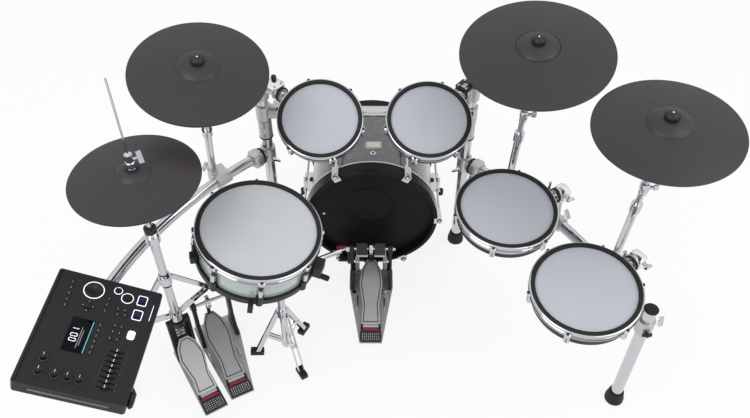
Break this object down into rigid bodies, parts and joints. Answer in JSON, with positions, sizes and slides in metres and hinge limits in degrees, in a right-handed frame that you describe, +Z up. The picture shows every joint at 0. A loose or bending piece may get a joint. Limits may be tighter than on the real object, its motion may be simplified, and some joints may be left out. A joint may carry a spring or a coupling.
{
  "type": "electronic drum kit",
  "caption": "Electronic drum kit: mesh pads and rubber cymbals on a curved tube rack, with a kick drum, double kick pedal, hi-hat stand, snare stand and sound module.",
  "frame": {"origin": "on the floor under the middle of the kit's box", "axes": "+X to the player's right, +Y away from the player, +Z up"},
  "size_m": [1.9084, 1.4137, 1.19],
  "materials": {
    "tube": "polished",
    "cast": "satin",
    "rubber": "matte",
    "bright": "polished",
    "head": "fine mesh",
    "tom_shell": "polished",
    "mint": "polished",
    "black": "satin",
    "cymbal": "matte",
    "sparkle": "sparkle lacquer",
    "kick_hoop": "gloss lacquer",
    "kick_head": "matte",
    "pedal": "satin",
    "board": "satin",
    "steel": "brushed",
    "beater": "satin",
    "screen": "polished",
    "control": "satin"
  },
  "bodies": {
    "kit": {"rack_posts": "tube", "rack_cross_bar": "tube", "rack_arms": "tube", "rack_legs": "tube", "rack_ends": "rubber", "tom_mounts": "cast", "snare_stand": "bright", "snare_legs": "bright", "kick_hoops": "kick_hoop", "kick_heads": "kick_head", "kick_shell": "sparkle", "kick_claws": "bright", "kick_spurs": "bright", "cymbal_posts": "bright", "cymbal_nuts": "black", "hihat_bottom": "cymbal", "hihat_stand": "bright", "hihat_legs": "bright", "hihat_base": "pedal", "kick_pedal_base": "pedal", "slave_pedal_base": "pedal", "kick_spring": "steel", "slave_spring": "steel", "module_case": "black", "module_screen": "screen", "module_knobs": "control", "module_mount": "black", "rack_clamps": "cast", "rack_wing_screws": "bright"},
    "left_tom": {"left_tom_hoop": "bright", "left_tom_head": "head", "left_tom_shell": "tom_shell"},
    "right_tom": {"right_tom_hoop": "bright", "right_tom_head": "head", "right_tom_shell": "tom_shell"},
    "floor_tom_1": {"floor_tom_1_hoop": "bright", "floor_tom_1_head": "head", "floor_tom_1_shell": "tom_shell"},
    "floor_tom_2": {"floor_tom_2_hoop": "bright", "floor_tom_2_head": "head", "floor_tom_2_shell": "tom_shell"},
    "snare": {"snare_hoop": "bright", "snare_head": "head", "snare_shell": "mint", "snare_lugs": "black", "snare_basket": "bright"},
    "left_crash": {"left_crash": "cymbal"},
    "ride": {"ride": "cymbal"},
    "right_crash": {"right_crash": "cymbal"},
    "hihat_board": {"hihat_footboard": "board"},
    "hihat_pull": {"hihat_rod": "bright", "hihat_top": "cymbal"},
    "kick_board": {"kick_footboard": "board"},
    "kick_beater": {"kick_beater": "beater"},
    "slave_board": {"slave_footboard": "board"},
    "drive_shaft": {"drive_shaft": "bright"},
    "slave_beater": {"slave_beater": "beater"},
    "dial": {"module_dial": "control"},
    "faders": {"module_faders": "control"},
    "buttons": {"module_buttons": "control"}
  },
  "joints": [
    {"name": "left_tom_tilt", "type": "hinge", "parent": "kit", "child": "left_tom", "pos_m": [-0.33784, 0.36188, 0.77136], "axis": [-0.6633, -0.7484, 0], "range_deg": [-10, 10]},
    {"name": "right_tom_tilt", "type": "hinge", "parent": "kit", "child": "right_tom", "pos_m": [0.24931, 0.38242, 0.76467], "axis": [-0.7682, 0.6402, 0], "range_deg": [-10, 10]},
    {"name": "floor_tom_1_tilt", "type": "hinge", "parent": "kit", "child": "floor_tom_1", "pos_m": [0.55745, 0.13391, 0.54331], "axis": [-0.4387, 0.8986, 0], "range_deg": [-10, 10]},
    {"name": "floor_tom_2_tilt", "type": "hinge", "parent": "kit", "child": "floor_tom_2", "pos_m": [0.73555, -0.15516, 0.54366], "axis": [-0.5767, 0.8169, 0], "range_deg": [-10, 10]},
    {"name": "snare_tilt", "type": "hinge", "parent": "kit", "child": "snare", "pos_m": [-0.3367, -0.1111, 0.44], "axis": [0.4226, 0.9063, 0], "range_deg": [-8, 8]},
    {"name": "left_crash_rock", "type": "hinge", "parent": "kit", "child": "left_crash", "pos_m": [-0.5394, 0.17474, 1.02307], "axis": [0.9936, 0.0215, -0.1112], "range_deg": [-6, 6], "stiffness_Nm_per_rad": 8},
    {"name": "ride_rock", "type": "hinge", "parent": "kit", "child": "ride", "pos_m": [0.43913, 0.25167, 1.04535], "axis": [0.9965, -0.0137, 0.0824], "range_deg": [-6, 6], "stiffness_Nm_per_rad": 8},
    {"name": "right_crash_rock", "type": "hinge", "parent": "kit", "child": "right_crash", "pos_m": [0.749, -0.06084, 1.01783], "axis": [0.9982, -0.0044, 0.0603], "range_deg": [-6, 6], "stiffness_Nm_per_rad": 8},
    {"name": "hihat_press", "type": "hinge", "parent": "kit", "child": "hihat_board", "pos_m": [-0.58508, -0.29253, 0.024], "axis": [-0.848, -0.5299, 0], "range_deg": [0, 3.6], "stiffness_Nm_per_rad": 30, "springref_deg": -6.88},
    {"name": "hihat_pull", "type": "slide", "parent": "kit", "child": "hihat_pull", "axis": [0, 0, 1], "range_m": [-0.0118, 0]},
    {"name": "kick_press", "type": "hinge", "parent": "kit", "child": "kick_board", "pos_m": [-0.0447, -0.0161, 0.024], "axis": [-1, 0, 0], "range_deg": [0, 9.5]},
    {"name": "kick_swing", "type": "hinge", "parent": "kit", "child": "kick_beater", "pos_m": [-0.0447, 0.2049, 0.195], "axis": [-1, 0, 0], "range_deg": [0, 67], "stiffness_Nm_per_rad": 1.5, "springref_deg": -25.78, "deforming": ["kick_spring"]},
    {"name": "slave_press", "type": "hinge", "parent": "kit", "child": "slave_board", "pos_m": [-0.50023, -0.23557, 0.024], "axis": [-0.8862, -0.4633, 0], "range_deg": [0, 9.5]},
    {"name": "drive_turn", "type": "hinge", "parent": "kit", "child": "drive_shaft", "pos_m": [-0.60262, -0.03972, 0.195], "axis": [-0.8862, -0.4633, 0], "range_deg": [0, 67]},
    {"name": "slave_swing", "type": "hinge", "parent": "kit", "child": "slave_beater", "pos_m": [-0.1047, 0.2049, 0.195], "axis": [-1, 0, 0], "range_deg": [0, 67], "stiffness_Nm_per_rad": 1.5, "springref_deg": -25.78, "deforming": ["slave_spring"]},
    {"name": "dial_turn", "type": "hinge", "parent": "kit", "child": "dial", "pos_m": [-0.76233, -0.40445, 0.71437], "axis": [0.3232, -0.0466, 0.9452], "continuous": true},
    {"name": "fader_slide", "type": "slide", "parent": "kit", "child": "faders", "axis": [0.9437, -0.0594, -0.3256], "range_m": [-0.012, 0.012]},
    {"name": "button_press", "type": "slide", "parent": "kit", "child": "buttons", "axis": [-0.3232, 0.0466, -0.9452], "range_m": [0, 0.0015], "stiffness_N_per_m": 900, "springref_m": -0.0008}
  ],
  "couplings": [
    {"joint": "hihat_pull", "follows": "hihat_press", "m_per_rad": -0.183},
    {"joint": "kick_swing", "follows": "kick_press", "ratio": 7},
    {"joint": "drive_turn", "follows": "slave_press", "ratio": 7},
    {"joint": "slave_swing", "follows": "slave_press", "ratio": 7}
  ]
}
